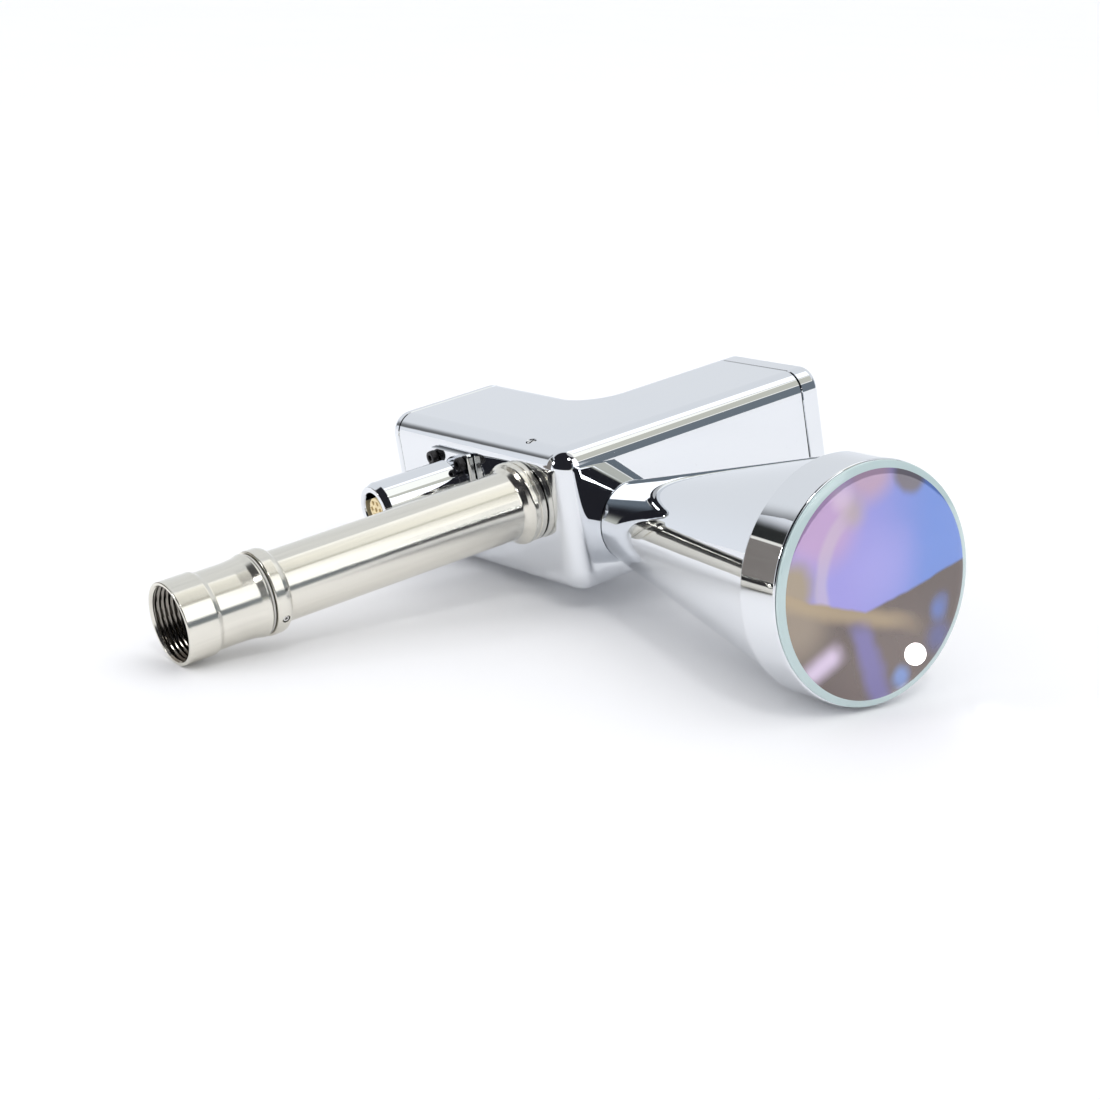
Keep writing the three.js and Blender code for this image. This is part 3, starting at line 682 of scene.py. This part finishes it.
def end_cap(name, matrix, thickness, extra):
    """Plate over an arm's end: tongue with a seal groove, then the plate with its rounded rim."""
    lip = WALL + GAP
    groove = lip + 1.3
    bevel = 2.2
    guard = 0.1

    def outline(inset, h):
        return square(SECTION / 2 - inset, EDGE_R - inset, h)

    loops = [
        outline(lip + GAP, -2.5), outline(lip, -2.2), outline(lip, -2.0), outline(groove, -2.0),
        outline(groove, -0.2), outline(lip, -0.2), outline(lip, GAP), outline(SEAM_CHAMFER, GAP),
        outline(0, GAP + SEAM_CHAMFER), outline(0, thickness - bevel - guard),
    ]
    steps = 10
    for k in range(steps + 1):
        a = math.pi / 2 * k / steps
        loops.append(outline(bevel * (1 - math.cos(a)), thickness - bevel * (1 - math.sin(a))))
    loops.append(outline(bevel + guard, thickness))
    cap = loft(name, matrix, loops)
    cutters = list(extra)
    for a, b in cap_screws:
        place = moved(matrix, a, b)
        cutters.append(drill(place, SCREW_HOLE_R, -4, thickness - 1, sides=32))
        cutters.append(drill(place, 2.7, thickness - 2.3, thickness, 0.2, sides=48))
    return combine(cap, cutters)


piece(settle(end_cap("scanner_arm_cap", SCANNER_END, SCANNER_CAP, [])), "head", "chrome",
      "scanner_end_cap", CHROME)
seat_holes = [drill(SEAT, 7.2, -4, 2), drill(SEAT, 9.9, -0.5, 8)]
piece(settle(end_cap("speculum_arm_cap", SPECULUM_END, SPECULUM_CAP, seat_holes)), "head", "chrome",
      "speculum_end_cap", CHROME)

for arm, frame_of, thickness in (
    ("scanner", SCANNER_END, SCANNER_CAP), ("speculum", SPECULUM_END, SPECULUM_CAP),
):
    for name in named(arm + "_cap_screw_"):
        local = centre_in(frame_of, name)
        a, b = math.copysign(SCREW_INSET, local.x), math.copysign(SCREW_INSET, local.y)
        made = screw("fine_" + name, moved(frame_of, a, b, thickness - 0.1),
                     head_r=2.3, head_h=2.0, shank_r=1.25, shank_l=9.0, socket=1.0)
        piece(made, "head", "steel", name, BRIGHT)

# ---- speculum seat -----------------------------------------------------------------------------

t = SPECULUM_CAP
seat = lathe("speculum_mount", SEAT, rounded([
    (6.4, 1.9), (9.6, 1.9, 0.2), (9.6, t + GAP), (12.6, t + GAP, 0.25), (12.6, t + 2.2, 0.3),
    (9.4, t + 2.2, 0.3), (8.1, t + 10, 0.5), (7.6, t + 10.5, 0.25), (6.4, t + 10.5, 0.3),
]))
piece(seat, "head", "steel", "speculum_seat", BRIGHT)

# ---- cone, bezel and magnifier -----------------------------------------------------------------

CONE_R = (13.0, 34.4)
CONE_LENGTH = 95.3
CONE_FLARE = (CONE_R[1] - CONE_R[0]) / (CONE_LENGTH - GAP)
BEZEL_END = 110.6

cone = lathe("magnifier_cone", VIEW, rounded([
    (9, -7, 0.3), (10.7, -7, 0.3), (10.7, GAP), (CONE_R[0], GAP, 0.3),
    (CONE_R[1], CONE_LENGTH, 0.25), (32.9, CONE_LENGTH), (32.9, 103, 0.2), (31.3, 103, 0.2),
    (31.3, CONE_LENGTH - 1, 0.3), (11.2, 2, 1), (9, 0, 1),
]), sides=192)
piece(cone, "head", "chrome", "viewing_cone", CHROME, BAFFLE)
paint(cone, lambda r, h: h > -1 and r < CONE_R[0] + CONE_FLARE * (h - GAP) - 1.2 or r < 9.5)
settle(cone)

bezel = lathe("magnifier_bezel", VIEW, rounded([
    (33.2, CONE_LENGTH + GAP), (35.2, CONE_LENGTH + GAP, 0.7), (35.2, BEZEL_END, 0.6),
    (33.5, BEZEL_END, 0.3), (33.5, 107.5), (33.2, 107),
]), sides=192)
piece(bezel, "head", "chrome", "lens_bezel", CHROME)

keeper = lathe("magnifier_keeper", VIEW, rounded([
    (30, 103.3, 0.4), (32.9, 103.3, 0.2), (32.9, 106.3, 0.2), (30, 106.3, 0.4),
]), sides=128)
piece(keeper, "head", "dark_metal", "lens_retaining_ring", BLACK)


def dome(radius, edge, apex, steps=18):
    """Profile of a spherical face from its rim to its centre."""
    rise = apex - edge
    ball = (radius * radius + rise * rise) / (2 * abs(rise))
    out = []
    for k in range(1, steps + 1):
        r = radius * (1 - k / steps)
        drop = ball - math.sqrt(ball * ball - r * r)
        out.append((r if k < steps else 0.0, apex - math.copysign(drop, rise)))
    return out


LENS_REAR = (29.4, 107.2)        # where each face's dome meets the rim: radius, height
LENS_FACE = (32.8, 112.6)
rear = dome(*LENS_REAR, 99.2)
front = dome(*LENS_FACE, 113.8)
rim = rounded([
    LENS_REAR, (33.0, 107.2, 0.15), (33.0, 110.9), (34.9, 110.9, 0.2), (34.9, 111.8, 0.3),
    LENS_FACE,
], closed=False)
glass = lathe("magnifier_lens", VIEW, rear[::-1] + rim + front, sides=192, closed=False)
piece(glass, "head", "lens_glass", "viewing_lens", LENS, LENS_EDGE)
paint(glass, lambda r, h: r > 32.75)

lock = lathe("cone_lock_nut", VIEW, rounded([
    (11, -6.1, 0.2), (12.4, -6.1, 0.2), (12.4, -2.7, 0.2), (11, -2.7, 0.2),
]), sides=96)
piece(lock, "head", "dark_metal", "cone_lock_ring", BLACK)

# ---- tube, collar and coupling nut -------------------------------------------------------------

tube = lathe("arm_tube", TUBE, rounded([
    (8.6, -8, 0.3), (9.6, -8, 0.3), (9.6, GAP), (13.1, GAP, 0.35), (13.1, 2.3, 0.35),
    (12.75, 2.5, 0.1), (12.75, 2.9, 0.1), (13.3, 3.1, 0.45), (13.3, 5.0, 0.9), (12.0, 6.0, 0.8),
    (11.0, 7.6, 1.6), (11.0, 91.5, 0.2), (10.2, 91.5), (10.2, 104.1), (9.4, 104.1), (9.4, 105.9),
    (10.2, 105.9, 0.1), (10.2, 107, 0.3), (8.6, 107, 0.3),
]))
piece(tube, "head", "steel", "handle_tube", SATIN)

COLLAR_SCREW_AT = 94.6           # along the tube
COLLAR_SCREW_TURN = math.radians(30)
outward = Vector((0, -math.cos(COLLAR_SCREW_TURN), -math.sin(COLLAR_SCREW_TURN)))
collar_middle = Vector(BEAM) - Vector((COLLAR_SCREW_AT, 0, 0))
collar = lathe("tube_collar", TUBE, rounded([
    (10.5, 91.8), (12.0, 91.8, 0.3), (12.9, 92.9, 0.6), (13.2, 94.0, 0.8), (13.2, 97.4, 0.45),
    (10.5, 97.4),
]))
combine(collar, [drill(axes(collar_middle, outward, (1, 0, 0)), 1.3, 8, 13.2, 0.12, sides=32)])
piece(collar, "head", "steel", "retaining_collar", SATIN)

grub_place = axes(collar_middle + outward * 12.95, outward, (1, 0, 0))
grub = loft("collar_grub_screw", grub_place, [
    circle(0.7, -2, 36), circle(1.0, -1.7, 36), circle(1.0, -0.15, 36), circle(0.85, 0, 36),
    circle(0.68, 0, 36), hexagon(0.5, -0.05, 36), hexagon(0.5, -1, 36), circle(0.1, -1.1, 36),
])
piece(grub, "head", "dark_metal", "collar_set_screw", BRIGHT)

washer = lathe("nut_washer", TUBE, rounded([
    (10.5, 97.7, 0.1), (12.5, 97.7, 0.2), (12.5, 98.4, 0.2), (10.5, 98.4, 0.1),
]))
piece(washer, "head", "polymer", "slip_washer", POLYMER)

clip = lathe("nut_clip", TUBE, rounded([
    (9.7, 104.4, 0.1), (10.95, 104.4, 0.2), (10.95, 105.6, 0.2), (9.7, 105.6, 0.1),
]), sides=96)
piece(clip, "head", "dark_metal", "snap_ring", BLACK)

NUT_END = 126.2
THREAD_R = 11.36
THREAD_DEPTH = 0.55
PITCH = 1.5
THREAD_ZONE = (NUT_END - 10.4, NUT_END - 0.7)


def thread(angle, r, h):
    """Helical groove cut into the nut's bore, fading out at both ends."""
    if r != THREAD_R:
        return r
    low, high = THREAD_ZONE
    fade_in, fade_out = 1.2, 0.7
    fade = min(1.0, max(0.0, (h - low) / fade_in), max(0.0, (high - h) / fade_out))
    phase = (h / PITCH - angle / (2 * math.pi)) % 1.0
    groove = 1 - abs(2 * phase - 1)
    sharp = min(1.0, max(0.0, 1.5 * groove - 0.2))
    return r + THREAD_DEPTH * fade * sharp


outside = rounded([
    (10.5, 98.7), (12.75, 98.7, 0.25), (12.9, 99.3, 0.5), (12.3, 101.5, 3), (12.0, 105.5, 6),
    (12.0, 114.8, 0.8), (12.5, 115.6, 0.5), (12.8, 116.3, 0.8), (12.8, NUT_END, 0.35),
    (THREAD_R + 0.5, NUT_END, 0.2), (THREAD_R, NUT_END - 0.7),
], closed=False)
THREAD_ROWS = 84
zone = THREAD_ZONE[1] - THREAD_ZONE[0]
bore = [(THREAD_R, THREAD_ZONE[1] - zone * k / THREAD_ROWS) for k in range(1, THREAD_ROWS + 1)]
inside = rounded([bore[-1], (11.2, 115.0), (11.2, 103.8, 0.3), (10.5, 103.8)], closed=False)[1:]
nut = lathe("coupling_ring", TUBE, outside + bore + inside, sides=144, shape=thread)
piece(nut, "arm_coupling", "steel", "coupling_nut", SATIN, THREAD)
# The bore and its thread take the darker steel, a painted shade.
paint(nut, lambda r, h: r < THREAD_R + THREAD_DEPTH + 0.05 and h < NUT_END - 0.5)

# ---- set screw in the top face -----------------------------------------------------------------

stud_place = axes((*SET_SCREW, 46.45), (0, 0, 1), (1, 0.6, 0))
stud = loft("tube_grub_screw", stud_place, [
    circle(0.9, -7, 48), circle(1.45, -6.4, 48), circle(1.45, -0.2, 48), circle(1.25, 0, 48),
])
slot_cut = loft("cutter", stud_place, [square(1.0, 0.02, -0.7, 1), square(1.0, 0.02, 1, 1)])
slot_cut.scale = (3.0, 0.26, 1.0)
combine(stud, [slot_cut])
piece(stud, "head", "dark_metal", "tube_set_screw", BRIGHT)

# ---- connector ---------------------------------------------------------------------------------

barrel = lathe("socket_body", SOCKET, rounded([
    (4.2, -3, 0.2), (5.5, -3, 0.2), (5.5, 0.35), (7.4, 0.35), (7.4, 4.6, 0.2), (8.8, 4.6, 0.35),
    (8.8, 31.2, 0.25), (7.9, 33.5, 0.4), (6.1, 33.5, 0.3), (5.85, 32.9, 0.15), (5.85, 22),
    (4.2, 22),
]))
FLANGE_HALF = 11.3
plate = loft("plate", SOCKET, [
    square(FLANGE_HALF - 0.2, 1.0, GAP, 6), square(FLANGE_HALF, 1.2, 0.5, 6),
    square(FLANGE_HALF, 1.2, 2.25, 6), square(FLANGE_HALF - 0.25, 1.0, 2.5, 6),
])
combine(plate, [drill(SOCKET, 6.5, -1, 4)])
combine(barrel, [plate], "UNION")
combine(barrel, [
    drill(moved(SOCKET, a, b), SCREW_HOLE_R, -1, 4, sides=32) for a, b in plug_screws
])
piece(barrel, "head", "chrome", "connector_shell", CHROME)

for name in named("connector_screw_"):
    local = centre_in(SOCKET, name)
    a, b = math.copysign(PLUG_PITCH, local.x), math.copysign(PLUG_PITCH, local.y)
    made = screw("fine_" + name, moved(SOCKET, a, b, 5.0),
                 head_r=2.2, head_h=2.2, shank_r=1.25, shank_l=6.0, socket=1.0, knurl=24)
    piece(made, "head", "dark_metal", name, BLACK)

insert = lathe("socket_insert", SOCKET, rounded([
    (0, -2), (3.9, -2, 0.2), (3.9, 32.6, 0.3), (0, 32.6),
], closed=False), sides=96, closed=False)
holes = []
for name in named("connector_contact_"):
    local = centre_in(SOCKET, name)
    place = moved(SOCKET, local.x, local.y)
    holes.append(drill(place, 0.75, -4, 32.6, 0.12, sides=24))
    pin = lathe("fine_" + name, place, rounded([
        (0, -5), (0.45, -5, 0.1), (0.45, 32.1, 0.3), (0, 32.1),
    ], closed=False, steps=4), sides=20, closed=False)
    piece(pin, "head", "gold", name, GOLD)
combine(insert, holes)
piece(insert, "head", "gold", "connector_insert", INSERT)

# ---- CAD pieces that stay, inside the housing and tube -----------------------------------------

inner = {
    "scanner_cap_seal": RUBBER, "speculum_cap_seal": RUBBER, "exit_window": WINDOW,
    "lens_cell": ALUMINIUM, "focusing_lens": WINDOW, "lens_cell_ring": BLACK,
    "motor_bracket": ALUMINIUM, "combiner_mount": ALUMINIUM, "beam_combiner": WINDOW,
    "driver_board": BOARD,
}
for tag in ("upper", "lower"):
    inner[tag + "_scan_mirror"] = MIRROR
    inner[tag + "_mirror_hub"] = BRIGHT
    inner[tag + "_scan_motor"] = BRIGHT
for name, finish in inner.items():
    node = frame["nodes"][name]
    node.data.materials.clear()
    node.data.materials.append(finish)

# ---- floor, light and camera -------------------------------------------------------------------


def floor_nodes(n):
    """Matt white paper."""
    return {
        "Base Color": n.mix(n.noise(3.0, 3.0), rgb(0.86, 0.865, 0.885), rgb(0.875, 0.88, 0.895)),
        "Roughness": n.spread(n.noise(8.0, 3.0), 0.3, 0.7, 0.55, 0.65),
    }


FLOOR_R = 12000
sheet = [(0, 0), (FLOOR_R, 0), (FLOOR_R, -5), (0, -5)]
floor = lathe("floor", Matrix.Identity(4), sheet, 96, closed=False)
floor.data.materials.append(material("floor", floor_nodes))


BACKDROP_LOW = rgb(0.86, 0.89, 0.94)
BACKDROP_HIGH = rgb(0.80, 0.825, 0.86)
BEIGE = rgb(0.62, 0.62, 0.55)
ROOM_DARK = rgb(0.02, 0.02, 0.025)
WALL_BLUE = rgb(0.17, 0.20, 0.23)
CORNICE = rgb(1.15, 1.15, 1.12)
WINDOW_LIGHT = rgb(1.7, 1.72, 1.75)
LAMP_LIGHT = rgb(20, 20, 20)
ROOM_LAMPS = ((-0.868, 0.324, 0.376), (-0.178, -0.515, 0.838))
DIFFUSE_LIGHT = rgb(1.08, 1.08, 1.09)
SEEN_BACKGROUND = rgb(0.955, 0.955, 0.975)


def studio():
    """Pale room round the object, as seen by reflections; straight views of it are plain."""
    world = bpy.data.worlds.new("studio")
    world.use_nodes = True
    bpy.context.scene.world = world
    n = Nodes(world.node_tree)
    background = world.node_tree.nodes["Background"]
    way = n.new("TexCoord").outputs["Generated"]
    parts = n.new("SeparateXYZ", {0: way}).outputs
    depth, height = parts[1], parts[2]
    turn = n.maths("ARCTAN2", parts[0], n.maths("MULTIPLY", depth, -1.0))

    def both(a, b):
        return n.maths("MULTIPLY", a, b)

    def facing(direction):
        d = Vector(direction).normalized()
        return n.new("VectorMath", {0: way, 1: d}, operation="DOT_PRODUCT").outputs["Value"]

    def cap(direction, inner_deg, outer_deg):
        return n.spread(facing(direction), math.cos(math.radians(outer_deg)),
                        math.cos(math.radians(inner_deg)))

    def between(value, low, high, soft):
        rise = n.spread(value, low - soft, low + soft)
        return both(rise, n.spread(value, high + soft, high - soft))

    # White backdrop going over into a pale ceiling.
    colour = n.mix(n.spread(height, 0.0, 0.36), BACKDROP_LOW, BACKDROP_HIGH)
    # Dark upright edge far behind on the left, fading away to one side.
    strip = both(n.maths("POWER", n.spread(turn, -2.92, -2.67), 1.6),
                 n.spread(turn, -2.63, -2.655))
    strip = both(strip, between(height, 0.04, 0.6, 0.04))
    colour = n.mix(both(strip, 0.85), colour, rgb(0.03, 0.03, 0.03))
    # Beige ceiling over the camera's side, with a dark border at its right.
    side = facing((1.8, 1.0, 0.0))
    near = n.spread(depth, 0.12, 0.06)
    colour = n.mix(both(n.spread(side, 0.272, 0.262), near), colour, BEIGE)
    border = both(between(side, 0.27, 0.29, 0.004), near)
    colour = n.mix(both(border, n.spread(height, 0.5, 0.6)), colour, rgb(0.1, 0.1, 0.1))
    # Dark room beyond the camera's left.
    colour = n.mix(cap((-0.65, -0.38, 0.65), 52, 58), colour, ROOM_DARK)
    # Blue-grey wall towards the front right, a pale cornice on it and a window in its left part.
    reach = between(turn, -0.12, 1.4, 0.06)
    colour = n.mix(both(reach, n.spread(height, 0.51, 0.49)), colour, WALL_BLUE)
    colour = n.mix(both(reach, between(height, 0.51, 0.545, 0.008)), colour, CORNICE)
    pane = both(between(height, 0.25, 0.80, 0.012), between(turn, 0.0, 0.53, 0.012))
    colour = n.mix(pane, colour, WINDOW_LIGHT)
    for lamp in ROOM_LAMPS:
        colour = n.mix(cap(lamp, 4.2, 5.0), colour, LAMP_LIGHT)
    path = n.new("LightPath").outputs
    colour = n.mix(path["Is Diffuse Ray"], colour, DIFFUSE_LIGHT)
    n.put(background.inputs[0], n.mix(path["Is Camera Ray"], colour, SEEN_BACKGROUND))


studio()


def gloss_only(obj):
    """Lets an object show in reflections and in nothing else."""
    for ray in ("camera", "diffuse", "shadow", "transmission", "volume_scatter"):
        setattr(obj, "visible_" + ray, False)


def card_nodes(n):
    """Grey-brown below, a pale line, black above it, fading out to the backdrop at the top."""
    rise = n.new("SeparateXYZ", {0: n.where((1, 1, 1))}).outputs[2]
    grain = n.noise(40.0, 3.0)
    lower = n.mix(grain, rgb(0.17, 0.15, 0.135), rgb(0.23, 0.21, 0.19))
    upper = n.mix(grain, rgb(0.004, 0.006, 0.005), rgb(0.012, 0.014, 0.012))
    colour = n.mix(n.spread(rise, 0.146, 0.15), lower, rgb(0.85, 0.83, 0.76))
    colour = n.mix(n.spread(rise, 0.156, 0.16), colour, upper)
    return {"Base Color": n.mix(n.spread(rise, 0.195, 0.25), colour, rgb(0.72, 0.74, 0.77))}


CARD_AT = (-0.185, 0.172, 0.0)
CARD_TURN = 0.66
CARD_HALF = (66, 1.5)
CARD_HEIGHT = 256
card_base = [(x * CARD_HALF[0], y * CARD_HALF[1]) for x, y in ((1, -1), (1, 1), (-1, 1), (-1, -1))]
card = loft("studio_card", Matrix.Translation(CARD_AT) @ Matrix.Rotation(CARD_TURN, 4, "Z"), [
    [(x, y, z) for x, y in card_base] for z in (0, CARD_HEIGHT)
])
card.data.materials.append(material("studio_card", card_nodes, Roughness=0.8))
gloss_only(card)


def lamp_nodes(n):
    """White glow of the disc that the lens reflects."""
    glow = n.mix(n.noise(30.0, 2.0), rgb(0.97, 0.98, 1.0), rgb(1.0, 1.0, 1.0))
    return {"Base Color": glow, "Emission Color": glow}


LAMP_AT = Vector((0.0617, -0.126, 0.0086))
LAMP_FACING = Vector((-0.696, 0.662, 0.28))
LAMP_R = 3.5
lamp_frame = LAMP_FACING.to_track_quat("Z", "Y").to_matrix().to_4x4()
disc = loft("lens_lamp", Matrix.Translation(LAMP_AT) @ lamp_frame, [
    circle(LAMP_R, -0.3), circle(LAMP_R, 0),
])
disc.data.materials.append(material("lens_lamp", lamp_nodes, Emission_Strength=25.0))
gloss_only(disc)


def softbox(name, place, target, size, power):
    """Round area light aimed at a target."""
    lamp = bpy.data.lights.new(name, "AREA")
    lamp.shape = "DISK"
    lamp.size = size
    lamp.energy = power
    obj = bpy.data.objects.new(name, lamp)
    obj.location = place
    obj.rotation_euler = (Vector(target) - Vector(place)).to_track_quat("-Z", "Y").to_euler()
    bpy.context.scene.collection.objects.link(obj)


softbox("key", place=(0.5, -0.2, 1.6), target=(0, 0, 0), size=1.2, power=2)

CAMERA_AT = Vector((-0.4052, -0.5674, 0.2246))
CAMERA_RIGHT = Vector((0.81644, -0.57709, 0.02096))
CAMERA_UP = Vector((0.14316, 0.23742, 0.96081))
LENS_MM = 77.39
SENSOR_MM = 36

camera_data = bpy.data.cameras.new("camera")
camera_data.lens = LENS_MM
camera_data.sensor_width = SENSOR_MM
camera = bpy.data.objects.new("camera", camera_data)
back = CAMERA_RIGHT.cross(CAMERA_UP).normalized()
right = CAMERA_UP.cross(back).normalized()
facing = Matrix((right, back.cross(right), back)).transposed().to_4x4()
camera.matrix_world = Matrix.Translation(CAMERA_AT) @ facing
bpy.context.scene.collection.objects.link(camera)
bpy.context.scene.camera = camera
bpy.context.scene.view_settings.view_transform = "Standard"
